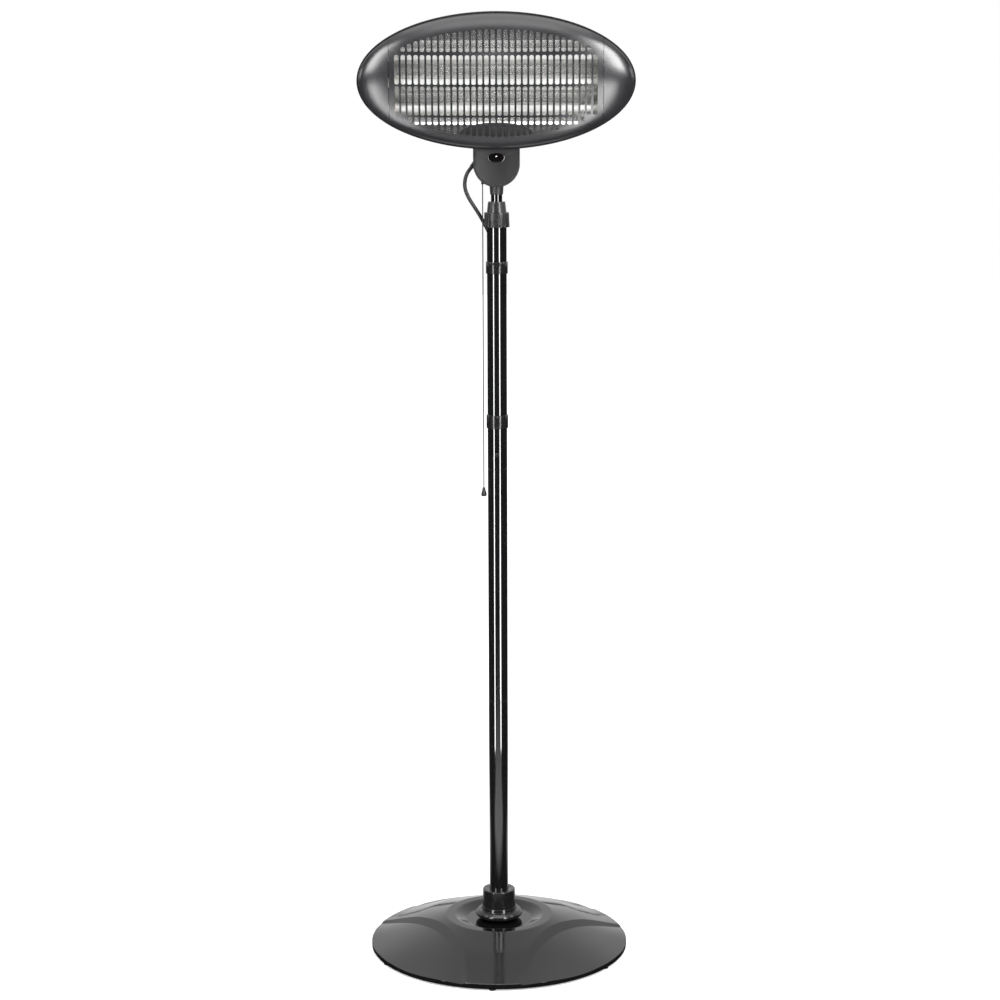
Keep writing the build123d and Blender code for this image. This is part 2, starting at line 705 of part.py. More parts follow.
with BuildPart() as cord_bell:
    with BuildSketch(Plane.XZ.offset(-pull_y)):
        with BuildLine():
            Polyline(
                (pull_x, bell_top), (pull_x + bell_top_radius, bell_top),
                (pull_x + bell_top_radius + 0.6, bell_top - 5),
                (pull_x + bell_bottom_radius, bell_bottom + 3.5),
                (pull_x + bell_bottom_radius - 1, bell_bottom), (pull_x, bell_bottom), close=True,
            )
        make_face()
    revolve(axis=Axis((pull_x, pull_y, bell_top), (0, 0, 1)))
cord_bell.part.label = "cord_bell"
export_step(cord_bell.part, "parts/cord_bell.step")

# ================================================================ heater head
# The head is drawn from the plane of its rim: x to the right, y up the face, z forward.
tilt = radians(rest_tilt)
face = Plane(origin=(0, head_y, head_z), x_dir=(1, 0, 0), z_dir=(0, -cos(tilt), -sin(tilt)))
side = Plane(origin=face.origin, x_dir=face.y_dir, z_dir=face.x_dir)    # x up the face, y forward
face_axis = Axis(face.origin, face.z_dir)
half_height = head_height / 2


def oval_stretch(inset):
    """Sideways stretch that turns a round form into the head's oval, set in from its outside."""
    return (head_width / 2 - inset) / (half_height - inset)


def shell_outline(inset):
    """The rear shell's outline as (radius, forward) points, set in from its outside."""
    shape = [(0, -1), (0.624, -1), (0.832, -0.645), (0.952, -0.258), (1, -0.065)]
    points = [(half_height * across, shell_depth * along) for across, along in shape]
    points.append((half_height, rim_lip))
    angles = [atan2(z1 - z0, r1 - r0) for (r0, z0), (r1, z1) in zip(points, points[1:])]
    moved = []
    for (radius, forward), a, b in zip(points, angles[:1] + angles, angles + angles[-1:]):
        reach = inset / cos((b - a) / 2)
        moved.append((radius - reach * sin((a + b) / 2), forward + reach * cos((a + b) / 2)))
    return moved


def shell_form(inset):
    """The rear shell's filled form, set in from its outside."""
    outline = shell_outline(inset)
    with BuildPart() as form:
        with BuildSketch(side):
            with BuildLine():
                FilletPolyline(*outline, radius=[22 - inset, 30 - inset, 14 - inset, 8 - inset])
                Polyline(outline[-1], (0, rim_lip), outline[0])
            make_face()
        revolve(axis=face_axis)
        scale(by=(oval_stretch(inset), 1, 1))
    return form.part


def dome_form(inset, crown, back):
    """The bezel's filled form: an elliptical crown over a short skirt."""
    reach = half_height - inset
    with BuildPart() as form:
        with BuildSketch(side):
            with BuildLine():
                EllipticalCenterArc((0, dome_edge_forward), reach, crown - dome_edge_forward)
                Polyline((reach, dome_edge_forward), (reach, back), (0, back), (0, crown))
            make_face()
        revolve(axis=face_axis)
        scale(by=(oval_stretch(inset), 1, 1))
    return form.part


def oval_ring(outer_inset, inner_inset, back, front):
    """A flat oval ring between two insets."""
    with BuildPart() as ring:
        with BuildSketch(face.offset(back)):
            Ellipse(head_width / 2 - outer_inset, half_height - outer_inset)
            Ellipse(head_width / 2 - inner_inset, half_height - inner_inset, mode=Mode.SUBTRACT)
        extrude(amount=front - back)
    return ring


# Front: one pressed dome skin, parted into the grille bezel and two end caps.
skirt_back = -4
seal_gap, seal_back, seal_front = 0.1, -1.6, 1.6
with BuildPart() as dome_skin:
    add(dome_form(bezel_inset, crown_height, skirt_back))
    add(dome_form(bezel_inset + sheet, crown_height - sheet, skirt_back), mode=Mode.SUBTRACT)

row_edges = [grille_half_height]
for bar_y, bar_width in bars:
    row_edges += [bar_y + bar_width / 2, bar_y - bar_width / 2]
row_edges += [grille_y - grille_half_height]
slots = []
for column in range(slot_columns):
    slot_x = (column - (slot_columns - 1) / 2) * slot_pitch
    limit = grille_half_height * sqrt(1 - (slot_x / grille_half_width) ** 2)
    for row_top, row_bottom in zip(row_edges[0::2], row_edges[1::2]):
        slot_top, slot_bottom = min(row_top, grille_y + limit), max(row_bottom, grille_y - limit)
        if slot_top - slot_bottom > shortest_slot:
            slots.append((slot_x, slot_top, slot_bottom))

with BuildPart() as front_bezel:
    add(dome_skin.part)
    with BuildSketch(face.offset(skirt_back)):
        Rectangle(2 * seam_x - seam_gap, head_height)
    extrude(amount=crown_height - skirt_back, mode=Mode.INTERSECT)
    with BuildSketch(face):
        for slot_x, slot_top, slot_bottom in slots:
            with Locations((slot_x, (slot_top + slot_bottom) / 2)):
                height = slot_top - slot_bottom
                RectangleRounded(slot_width, height, min(slot_corner, 0.45 * height))
    extrude(amount=crown_height, mode=Mode.SUBTRACT)
front_bezel.part.label = "front_bezel"
export_step(front_bezel.part, "parts/front_bezel.step")


def end_cap(direction):
    """The part of the dome skin beyond a seam."""
    inner = seam_x + seam_gap / 2
    with BuildPart() as cap:
        add(dome_skin.part)
        with BuildSketch(face.offset(skirt_back)):
            with Locations((direction * (inner + head_width / 2) / 2, 0)):
                Rectangle(head_width / 2 - inner, head_height)
        extrude(amount=crown_height - skirt_back, mode=Mode.INTERSECT)
    return cap


end_cap_left = end_cap(-1)
end_cap_left.part.label = "end_cap_left"
export_step(end_cap_left.part, "parts/end_cap_left.step")

end_cap_right = end_cap(1)
end_cap_right.part.label = "end_cap_right"
export_step(end_cap_right.part, "parts/end_cap_right.step")

rim_seal = oval_ring(sheet + seal_gap, bezel_inset - seal_gap, seal_back, seal_front)
rim_seal.part.label = "rim_seal"
export_step(rim_seal.part, "parts/rim_seal.step")

# Tilt bracket on the shell's back: a folded plate whose legs stand between the box's ears.
bracket_sheet = 2.5
leg_outer = ear_inner - 0.2
leg_radius = 9
plate_low, plate_high = -70, -35
bracket_back = -shell_depth - bracket_sheet
bracket_screw_radius, bracket_screw_head = 2, 3.6
bracket_screw_places = [(x, y) for x in (-12, 12) for y in (-62, -43)]
pivot_local = side.to_local_coords(Vector(0, pivot_y, pivot_z))
pivot_place = (pivot_local.X, pivot_local.Y)

# Studs carry the reflector; screws through the shell's back hold them.
stud_radius, stud_screw_radius, stud_screw_head = 4, 1.8, 3.8
stud_places = [(x, tube_y + y) for x in (-90, 90) for y in (-tube_spacing, tube_spacing)]
trough_bottom = cusp_forward - trough_depth

vent_width, vent_height = 5, 30
with BuildPart() as rear_shell:
    add(shell_form(0))
    add(shell_form(sheet), mode=Mode.SUBTRACT)
    with BuildSketch(face.offset(-shell_depth)):
        with Locations((0, 36)):
            with GridLocations(slot_pitch, 1, 12, 1):
                SlotOverall(vent_height, vent_width, rotation=90)
        with Locations((-62, -34), (62, -34)):
            with GridLocations(slot_pitch, 1, 5, 1):
                SlotOverall(vent_height, vent_width, rotation=90)
        with Locations(*bracket_screw_places):
            Circle(bracket_screw_radius + fixed_gap)
        with Locations(*stud_places):
            Circle(stud_screw_radius + fixed_gap)
    extrude(amount=sheet, mode=Mode.SUBTRACT)
rear_shell.part.label = "rear_shell"
export_step(rear_shell.part, "parts/rear_shell.step")

with BuildPart() as tilt_bracket:
    with BuildSketch(face.offset(bracket_back)):
        with Locations((0, (plate_low + plate_high) / 2)):
            Rectangle(2 * leg_outer, plate_high - plate_low)
        with Locations(*bracket_screw_places):
            Circle(bracket_screw_radius + fixed_gap, mode=Mode.SUBTRACT)
    extrude(amount=bracket_sheet)
    for leg_x in (-leg_outer, leg_outer - bracket_sheet):
        with BuildSketch(side.offset(leg_x)):
            with Locations(pivot_place):
                Circle(leg_radius)
            with Locations(((plate_low + plate_high) / 2, bracket_back + bracket_sheet / 2)):
                Rectangle(plate_high - plate_low, bracket_sheet)
            make_hull()
        extrude(amount=bracket_sheet)
    with BuildSketch(side.offset(-leg_outer)):
        with Locations(pivot_place):
            Circle(tilt_bolt_radius + pivot_gap)
    extrude(amount=2 * leg_outer, mode=Mode.SUBTRACT)
tilt_bracket.part.label = "tilt_bracket"
export_step(tilt_bracket.part, "parts/tilt_bracket.step")

with BuildPart() as bracket_screws:
    with BuildSketch(face.offset(bracket_back)):
        with Locations(*bracket_screw_places):
            Circle(bracket_screw_radius)
    extrude(amount=bracket_sheet + sheet + 4)
    with BuildSketch(face.offset(bracket_back)):
        with Locations(*bracket_screw_places):
            Circle(bracket_screw_head)
    extrude(amount=-2)
bracket_screws.part.label = "bracket_screws"
export_step(bracket_screws.part, "parts/bracket_screws.step")

with BuildPart() as reflector_studs:
    with BuildSketch(face.offset(sheet - shell_depth)):
        with Locations(*stud_places):
            Circle(stud_radius)
    extrude(amount=shell_depth + trough_bottom - thin_sheet - sheet)
    with BuildSketch(face.offset(sheet - shell_depth)):
        with Locations(*stud_places):
            Circle(stud_screw_radius + fixed_gap)
    extrude(amount=12, mode=Mode.SUBTRACT)
reflector_studs.part.label = "reflector_studs"
export_step(reflector_studs.part, "parts/reflector_studs.step")

with BuildPart() as shell_screws:
    with BuildSketch(face.offset(-shell_depth)):
        with Locations(*stud_places):
            Circle(stud_screw_radius)
    extrude(amount=sheet + 10)
    with BuildSketch(face.offset(-shell_depth)):
        with Locations(*stud_places):
            Circle(stud_screw_head)
    extrude(amount=-2)
shell_screws.part.label = "shell_screws"
export_step(shell_screws.part, "parts/shell_screws.step")

# Reflector: three troughs side by side in one polished sheet, with a flange above and below.
trough_side = Plane(origin=side.from_local_coords((tube_y, 0, 0)), x_dir=side.x_dir, z_dir=side.z_dir)
half_spacing = tube_spacing / 2
trough_radius = (half_spacing**2 + trough_depth**2) / (2 * trough_depth)
trough_centre = trough_bottom + trough_radius
back_radius = trough_radius + thin_sheet
back_cusp = trough_centre - sqrt(back_radius**2 - half_spacing**2)
back_reach = sqrt(back_radius**2 - (trough_centre - cusp_forward + thin_sheet) ** 2)
trough_end = 3 * half_spacing
flange_start, flange_end, flange_forward = trough_end + 5, 96, cusp_forward + 3
back_end = tube_spacing + back_reach
with BuildPart() as reflector:
    with BuildSketch(trough_side):
        with BuildLine():
            Polyline((flange_end, flange_forward), (flange_start, flange_forward), (trough_end, cusp_forward))
            for middle in (tube_spacing, 0, -tube_spacing):
                ThreePointArc(
                    (middle + half_spacing, cusp_forward), (middle, trough_bottom),
                    (middle - half_spacing, cusp_forward),
                )
            Polyline(
                (-trough_end, cusp_forward), (-flange_start, flange_forward), (-flange_end, flange_forward),
                (-flange_end, flange_forward - thin_sheet), (-flange_start, flange_forward - thin_sheet),
                (-back_end, cusp_forward - thin_sheet),
            )
            ThreePointArc(
                (-back_end, cusp_forward - thin_sheet), (-tube_spacing, trough_bottom - thin_sheet),
                (-half_spacing, back_cusp),
            )
            ThreePointArc(
                (-half_spacing, back_cusp), (0, trough_bottom - thin_sheet), (half_spacing, back_cusp),
            )
            ThreePointArc(
                (half_spacing, back_cusp), (tube_spacing, trough_bottom - thin_sheet),
                (back_end, cusp_forward - thin_sheet),
            )
            Polyline(
                (back_end, cusp_forward - thin_sheet), (flange_start, flange_forward - thin_sheet),
                (flange_end, flange_forward - thin_sheet), (flange_end, flange_forward),
            )
        make_face()
    extrude(amount=reflector_length / 2, both=True)
    with BuildSketch(face.offset(-shell_depth / 2)):
        Ellipse(head_width / 2 - 14, half_height - 14)
    extrude(amount=shell_depth, mode=Mode.INTERSECT)
reflector.part.label = "reflector"
export_step(reflector.part, "parts/reflector.step")


def quartz_tube(row):
    """One quartz tube along X."""
    with BuildPart() as tube:
        with BuildSketch(trough_side):
            with Locations((row * tube_spacing, tube_forward)):
                Circle(tube_radius)
                Circle(tube_radius - glass_wall, mode=Mode.SUBTRACT)
        extrude(amount=tube_length / 2, both=True)
    return tube


def heating_coil(row):
    """The envelope of the wound heating wire inside a tube."""
    with BuildPart() as coil:
        with BuildSketch(trough_side):
            with Locations((row * tube_spacing, tube_forward)):
                Circle(coil_radius)
        extrude(amount=tube_length / 2, both=True)
    return coil


for row, place in ((1, "top"), (0, "middle"), (-1, "bottom")):
    tube = quartz_tube(row)
    tube.part.label = "quartz_tube_" + place
    export_step(tube.part, "parts/quartz_tube_" + place + ".step")
    coil = heating_coil(row)
    coil.part.label = "heating_coil_" + place
    export_step(coil.part, "parts/heating_coil_" + place + ".step")

tube_places = [(row * tube_spacing, tube_forward) for row in (1, 0, -1)]
with BuildPart() as ceramic_ends:
    for end in (-1, 1):
        with BuildSketch(trough_side.offset(end * (tube_length / 2 - ceramic_depth))):
            with Locations(*tube_places):
                Circle(ceramic_radius)
        extrude(amount=end * ceramic_length)
        with BuildSketch(trough_side.offset(end * (tube_length / 2 - ceramic_depth))):
            with Locations(*tube_places):
                Circle(tube_radius + fixed_gap)
        extrude(amount=end * ceramic_depth, mode=Mode.SUBTRACT)
ceramic_ends.part.label = "ceramic_ends"
export_step(ceramic_ends.part, "parts/ceramic_ends.step")


def tube_bracket(end):
    """A plate at one end of the reflector that carries the tubes' ceramic ends."""
    with BuildPart() as plate:
        with BuildSketch(trough_side.offset(end * reflector_length / 2)):
            with Locations((0, 1)):
                Rectangle(2 * tube_spacing + 20, 34)
            with Locations(*tube_places):
                Circle(ceramic_radius + fixed_gap, mode=Mode.SUBTRACT)
        extrude(amount=end * sheet)
    return plate


tube_bracket_left = tube_bracket(-1)
tube_bracket_left.part.label = "tube_bracket_left"
export_step(tube_bracket_left.part, "parts/tube_bracket_left.step")

tube_bracket_right = tube_bracket(1)
tube_bracket_right.part.label = "tube_bracket_right"
export_step(tube_bracket_right.part, "parts/tube_bracket_right.step")

# Cover over the wiring, on the reflector's lower flange.
wiring_half_width, wiring_half_height, wiring_y = 71, 24, -98
wiring_low, wiring_front = -104, 17
with BuildPart() as wiring_cover:
    with BuildSketch(face.offset(flange_forward)):
        with Locations((0, wiring_y)):
            Ellipse(wiring_half_width, wiring_half_height)
        with Locations((0, wiring_low - wiring_half_height / 2)):
            Rectangle(2 * wiring_half_width, wiring_half_height, mode=Mode.SUBTRACT)
    extrude(amount=wiring_front - flange_forward)
    offset(amount=-1, openings=wiring_cover.faces().sort_by(face_axis)[0])
wiring_cover.part.label = "wiring_cover"
export_step(wiring_cover.part, "parts/wiring_cover.step")

# Tilt bolt through ears and legs, and the knob that locks it.
bolt_tip = 42
bolt_cap = 4
with BuildPart() as tilt_bolt:
    with BuildSketch(Plane.YZ.offset(-ear_outer)):
        with Locations((pivot_y, pivot_z)):
            Circle(tilt_bolt_radius)
    extrude(amount=ear_outer + bolt_tip)
    with BuildSketch(Plane.YZ.offset(-ear_outer - bolt_cap)):
        with Locations((pivot_y, pivot_z)):
            RegularPolygon(5, 6, major_radius=False)
    extrude(amount=bolt_cap)
tilt_bolt.part.label = "tilt_bolt"
export_step(tilt_bolt.part, "parts/tilt_bolt.step")

knob_inner = ear_outer + moving_gap
knob_outer = bolt_tip + 4
knob_neck, knob_neck_radius = 4, 8
knob_lobes, knob_lobe_radius, knob_lobe_circle = 6, 3.4, 9
with BuildPart() as tilt_knob:
    with BuildSketch(Plane.YZ.offset(knob_inner)):
        with Locations((pivot_y, pivot_z)):
            Circle(knob_neck_radius)
    extrude(amount=knob_outer - knob_inner)
    with BuildSketch(Plane.YZ.offset(knob_inner + knob_neck)):
        with Locations((pivot_y, pivot_z)):
            with PolarLocations(knob_lobe_circle, knob_lobes):
                Circle(knob_lobe_radius)
            Circle(knob_lobe_circle)
    extrude(amount=knob_outer - knob_inner - knob_neck)
    with BuildSketch(Plane.YZ.offset(knob_inner)):
        with Locations((pivot_y, pivot_z)):
            Circle(tilt_bolt_radius + pivot_gap)
    extrude(amount=bolt_tip + moving_gap - knob_inner, mode=Mode.SUBTRACT)
tilt_knob.part.label = "tilt_knob"
export_step(tilt_knob.part, "parts/tilt_knob.step")

# ================================================================ power cord
# The cord leaves the gland, bows out to the left and goes behind the pole.
# Clips hold it down the pole. It then crosses the base and lies on the floor behind it.
loop_points = [
    (gland_mouth.X, gland_mouth.Y, gland_mouth.Z), (-52.9, 12, 1511.6), (-57.3, 12, 1502.3),
    (-59.3, 12, 1492.5), (-59.3, 12, 1482.5), (-56.9, 12, 1472.8), (-51.8, 12.3, 1461.9),
    (-44.0, 13, 1449.1), (-34.6, 15, 1434.9), (-25.4, 18.5, 1418.5), (-17.3, 22.3, 1402.2),
    (-9.6, 24.6, 1386.4), (-3.4, cord_y, 1372.4), (0, cord_y, 1359.8), (0, cord_y, cord_meeting_z),
]
drop_points = [
    (0, cord_y, cord_meeting_z), (0, cord_y, 186), (0.5, 29.5, 160), (1, 38, 136),
    (1.5, 51, 116.5), (2, 68, 98), (2, 90, 83), (1.5, 116, 72), (1, 143, 60), (0, 170, 48),
    (-1, 198, 37.5), (-2, 226, 30), (-2, 251, 22.5), (-1, 275, 12), (0, 298, 5),
    (1, 322, 3.7), (0, 344, 3.8), (0, 353.3, 5.95),
]


def bend_radii(points):
    """Bend radius at each inner point of a cord's route: 0.45 of the shorter run over tan(turn / 2)."""
    radii = []
    for before, here, after in zip(points, points[1:], points[2:]):
        run_in = Vector(*here) - Vector(*before)
        run_out = Vector(*after) - Vector(*here)
        turn = radians(run_in.get_angle(run_out))
        radii.append(0.45 * min(run_in.length, run_out.length) / tan(turn / 2))
    return radii


def cord_tube(points):
    """A round cord along a route of straight runs and tangent arcs."""
    radii = bend_radii(points)
    with BuildPart() as tube:
        with BuildLine() as route:
            FilletPolyline(*points, radius=radii)
        with BuildSketch(Plane(origin=route.wire() @ 0, z_dir=route.wire() % 0)):
            Circle(cord_radius)
        sweep(path=route.wire())
    length = route.wire().length
    share = tube.part.volume / (pi * cord_radius**2 * length)
    print("cord length", round(length, 1), "volume share", round(share, 5),
          "radii", [round(radius) for radius in radii])
    return tube


power_cord_loop = cord_tube(loop_points)
power_cord_loop.part.label = "power_cord_loop"
export_step(power_cord_loop.part, "parts/power_cord_loop.step")

power_cord_drop = cord_tube(drop_points)
power_cord_drop.part.label = "power_cord_drop"
export_step(power_cord_drop.part, "parts/power_cord_drop.step")

# Plug: a cone with a strain relief, lying on the floor on its rim.
relief_length, relief_root_radius, relief_tip_radius = 20, 6.2, 4.3
plug_length, plug_neck_radius, plug_radius = 36, 8, 17.5
pin_spacing, pin_round, pin_length = 19, 2.4, 19
plug_start = Vector(*drop_points[-1])
plug_direction = (plug_start - Vector(*drop_points[-2])).normalized()
plug_neck = plug_start + plug_direction * relief_length
plug_face = plug_neck + plug_direction * plug_length

with BuildPart() as plug_relief:
    with BuildSketch(Plane(origin=plug_start, z_dir=plug_direction)):
        Circle(relief_tip_radius)
    with BuildSketch(Plane(origin=plug_neck, z_dir=plug_direction)):
        Circle(relief_root_radius)
    loft()
plug_relief.part.label = "plug_relief"
export_step(plug_relief.part, "parts/plug_relief.step")

with BuildPart() as plug_body:
    with BuildSketch(Plane(origin=plug_neck, z_dir=plug_direction)):
        Circle(plug_neck_radius)
    with BuildSketch(Plane(origin=plug_neck + plug_direction * (plug_length - 6), z_dir=plug_direction)):
        Circle(plug_radius)
    loft()
    with BuildSketch(Plane(origin=plug_face - plug_direction * 6, z_dir=plug_direction)):
        Circle(plug_radius)
    extrude(amount=6)
plug_body.part.label = "plug_body"
export_step(plug_body.part, "parts/plug_body.step")

with BuildPart() as plug_pins:
    with BuildSketch(Plane(origin=plug_face, x_dir=(1, 0, 0), z_dir=plug_direction)):
        with GridLocations(pin_spacing, 1, 2, 1):
            Circle(pin_round)
    extrude(amount=pin_length)
    fillet(plug_pins.faces().sort_by(Axis.Y)[-2:].edges(), radius=1.8)
plug_pins.part.label = "plug_pins"
export_step(plug_pins.part, "parts/plug_pins.step")
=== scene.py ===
import bpy
import bmesh
import json
from math import cos, pi, radians, sin
from mathutils import Matrix, Vector

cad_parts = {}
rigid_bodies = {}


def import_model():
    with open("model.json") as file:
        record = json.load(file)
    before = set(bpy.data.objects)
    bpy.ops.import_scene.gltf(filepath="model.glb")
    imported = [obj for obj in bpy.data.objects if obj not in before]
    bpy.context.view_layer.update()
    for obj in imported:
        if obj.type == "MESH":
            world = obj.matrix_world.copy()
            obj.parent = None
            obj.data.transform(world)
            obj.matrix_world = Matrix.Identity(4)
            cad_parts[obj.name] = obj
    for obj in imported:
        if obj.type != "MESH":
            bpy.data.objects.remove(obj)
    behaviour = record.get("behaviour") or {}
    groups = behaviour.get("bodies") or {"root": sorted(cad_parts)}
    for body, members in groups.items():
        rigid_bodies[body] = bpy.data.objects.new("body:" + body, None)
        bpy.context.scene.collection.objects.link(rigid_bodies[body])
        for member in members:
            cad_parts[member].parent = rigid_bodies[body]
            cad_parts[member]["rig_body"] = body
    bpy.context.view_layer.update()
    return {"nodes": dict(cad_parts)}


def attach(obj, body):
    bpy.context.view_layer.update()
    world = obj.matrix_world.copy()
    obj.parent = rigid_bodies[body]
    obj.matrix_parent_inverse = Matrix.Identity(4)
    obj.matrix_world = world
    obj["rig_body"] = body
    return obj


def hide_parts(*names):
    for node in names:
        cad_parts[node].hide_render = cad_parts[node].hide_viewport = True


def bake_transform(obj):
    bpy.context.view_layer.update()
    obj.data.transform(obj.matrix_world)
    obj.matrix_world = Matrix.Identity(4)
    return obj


# An infrared patio heater tower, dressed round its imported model. Metres; the front faces -Y.
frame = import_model()

# ---------------------------------------------------------------- base cover
# A dished cover of pressed steel sheet with three shallow petals and a rim turned in below.
# Its black baked enamel is glossy: it mirrors the pole and the room.
mm = 0.001


def linear(colour):
    """An sRGB hex colour as the linear one that a shader takes."""
    levels = [int(colour[place:place + 2], 16) / 255 for place in (1, 3, 5)]
    return [level / 12.92 if level <= 0.04045 else ((level + 0.055) / 1.055) ** 2.4 for level in levels] + [1]


def add(tree, kind, inputs=None, **settings):
    """A node with its settings; each input takes a value or the socket that feeds it."""
    made = tree.nodes.new("ShaderNode" + kind)
    for name, value in settings.items():
        setattr(made, name, value)
    for name, value in (inputs or {}).items():
        if isinstance(value, bpy.types.NodeSocket):
            tree.links.new(value, made.inputs[name])
        else:
            made.inputs[name].default_value = value
    return made


def finish(name, colour, roughness, grain, relief, unevenness=0.12, patch=70 * mm, **sockets):
    """A surface with a fine relief of the given grain, over slow changes in its gloss and tone."""
    made = bpy.data.materials.new(name)
    made.use_nodes = True
    tree = made.node_tree
    shader = tree.nodes["Principled BSDF"]
    place = add(tree, "TexCoord").outputs["Object"]
    cloud = add(tree, "TexNoise", {"Vector": place, "Scale": 1 / patch, "Detail": 3}).outputs["Fac"]
    cloud_low, cloud_high = 0.3, 0.7
    darker, lighter = 1 - unevenness, 1 + unevenness
    tone = add(tree, "ValToRGB", {"Fac": cloud})
    for end, position, share in zip(tone.color_ramp.elements, (cloud_low, cloud_high), (darker, lighter)):
        end.position = position
        end.color = [share * level for level in linear(colour)[:3]] + [1]
    tree.links.new(tone.outputs["Color"], shader.inputs["Base Color"])
    gloss = add(tree, "MapRange", {
        "Value": cloud, "From Min": cloud_low, "From Max": cloud_high,
        "To Min": roughness * darker, "To Max": roughness * lighter,
    })
    tree.links.new(gloss.outputs["Result"], shader.inputs["Roughness"])
    speck = add(tree, "TexNoise", {"Vector": place, "Scale": 1 / grain, "Detail": 2}).outputs["Fac"]
    bump = add(tree, "Bump", {"Height": speck, "Strength": 1, "Distance": relief})
    tree.links.new(bump.outputs["Normal"], shader.inputs["Normal"])
    for socket, value in sockets.items():
        shader.inputs[socket.replace("_", " ")].default_value = value
    return made


def dress(material, *nodes):
    """CAD nodes whose shape is right take this finish."""
    for node in nodes:
        frame["nodes"][node].material_slots[0].material = material


# Baked gloss enamel: the eye sees the white room, the pole and the rim's thin bright line in it.
base_enamel = finish("baked_black_gloss_enamel", "#0d0d0e", roughness=0.10, grain=16 * mm, relief=0.004 * mm)
dress(base_enamel, "base_cover")

# ---------------------------------------------------------------- ballast, feet and centre bolt
# A cast iron disc under the cover, six rubber feet pushed into the turned rim, and a zinc plated
# bolt with its washer, which pulls cover, flange and pole together.

# Sand cast iron under a thin primer: coarse and dark, without shine.
cast_iron = finish("primed_cast_iron", "#2c2c2c", roughness=0.75, grain=2.5 * mm, relief=0.25 * mm,
                   unevenness=0.25, patch=30 * mm)
dress(cast_iron, "base_weight")

# Moulded rubber: a dull black in which no lamp shows.
rubber = finish("matt_black_rubber", "#1a1a1a", roughness=0.7, grain=1.5 * mm, relief=0.03 * mm)
dress(rubber, "base_feet")

# Zinc plate: a bright metal, slightly cloudy.
zinc = finish("bright_zinc_plate", "#b8bab6", roughness=0.3, grain=3 * mm, relief=0.01 * mm,
              unevenness=0.15, patch=8 * mm, Metallic=1)
dress(zinc, "base_washer", "centre_bolt")

# ---------------------------------------------------------------- flange and collar
# Two glossy black ABS mouldings at the pole's foot: a stepped flange that the pole stands in,
# and a collar slipped over it.


def as_object(form, name):
    """The worked mesh as an object of its own, at the origin."""
    mesh = bpy.data.meshes.new(name)
    form.to_mesh(mesh)
    form.free()
    made = bpy.data.objects.new(name, mesh)
    bpy.context.scene.collection.objects.link(made)
    return made


def fitted(form, name, material, node):
    """The worked mesh as a piece that stands for a CAD node, on that node's body and in the given finish."""
    crease_from = radians(38)
    bmesh.ops.recalc_face_normals(form, faces=form.faces)
    for face in form.faces:
        face.smooth = True
    piece = as_object(form, name)
    piece.data.set_sharp_from_angle(angle=crease_from)
    piece.data.materials.append(material)
    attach(piece, frame["nodes"][node]["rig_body"])
    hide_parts(node)


def eased(node, name, material, width):
    """A CAD node's shape with its sharp edges rounded by a small width, as tools leave them."""
    flat_below, sharp_above = radians(0.5), radians(35)
    form = bmesh.new()
    form.from_mesh(frame["nodes"][node].data)
    bmesh.ops.remove_doubles(form, verts=form.verts, dist=0.01 * mm)
    bmesh.ops.dissolve_limit(form, angle_limit=flat_below, verts=form.verts, edges=form.edges)
    sharp = [edge for edge in form.edges if edge.is_manifold and edge.calc_face_angle(0) > sharp_above]
    bmesh.ops.bevel(form, geom=sharp, offset=width, offset_type="OFFSET", segments=2, profile=0.5,
                    affect="EDGES", clamp_overlap=True, material=-1)
    bmesh.ops.dissolve_degenerate(form, dist=0.001 * mm, edges=form.edges)
    fitted(form, name, material, node)


# ABS from a polished mould: lamps show in it as streaks with a soft edge.
gloss_abs = finish("gloss_black_abs", "#161617", roughness=0.16, grain=4 * mm, relief=0.01 * mm)
eased("base_flange", "base_flange_moulding", gloss_abs, width=0.7 * mm)
eased("pole_collar", "pole_collar_moulding", gloss_abs, width=0.8 * mm)

# ---------------------------------------------------------------- pole
# Three push-fit steel tubes in black enamel, screwed from the front above both joints, and the slim
# tube that slides in the top one. A plug, a bush and a split collet of nylon sit inside.

# Gloss enamel: lamps show in it as sharp upright streaks.
enamel = finish("black_gloss_enamel", "#0c0c0d", roughness=0.08, grain=14 * mm, relief=0.002 * mm,
                Coat_Weight=1.0, Coat_Roughness=0.04, Coat_IOR=1.7, Specular_IOR_Level=0.6)
dress(enamel, "lower_pole", "middle_pole", "upper_pole", "telescopic_tube")

# Moulded nylon: an even black with a soft sheen.
nylon = finish("moulded_black_nylon", "#202021", roughness=0.5, grain=1.2 * mm, relief=0.02 * mm)
dress(nylon, "pole_plug", "tube_bush", "clamp_collet")

# Blackened steel: a dark metal with dull glints.
black_oxide = finish("black_oxide_steel", "#242424", roughness=0.42, grain=2 * mm, relief=0.01 * mm,
                     Metallic=0.6)


def facing(place, direction):
    """The matrix that stands a piece turned about Z at a place, with its top towards a direction."""
    return Matrix.Translation(place) @ Vector(direction).to_track_quat("Z", "X").to_matrix().to_4x4()


def lathed(form, outline, stand, steps=32):
    """Turns an outline of (radius, height) points about Z, stands it in place and adds it to the mesh."""
    turned = bmesh.new()
    points = [turned.verts.new((radius, 0, height)) for radius, height in outline]
    edges = [turned.edges.new(pair) for pair in zip(points, points[1:])]
    bmesh.ops.spin(turned, geom=points + edges, cent=(0, 0, 0), axis=(0, 0, 1), angle=2 * pi,
                   steps=steps, use_merge=True, use_duplicate=False)
    bmesh.ops.remove_doubles(turned, verts=turned.verts, dist=0.001 * mm)
    bmesh.ops.transform(turned, matrix=stand, verts=turned.verts)
    mesh = bpy.data.meshes.new("turned")
    turned.to_mesh(mesh)
    turned.free()
    form.from_mesh(mesh)
    bpy.data.meshes.remove(mesh)


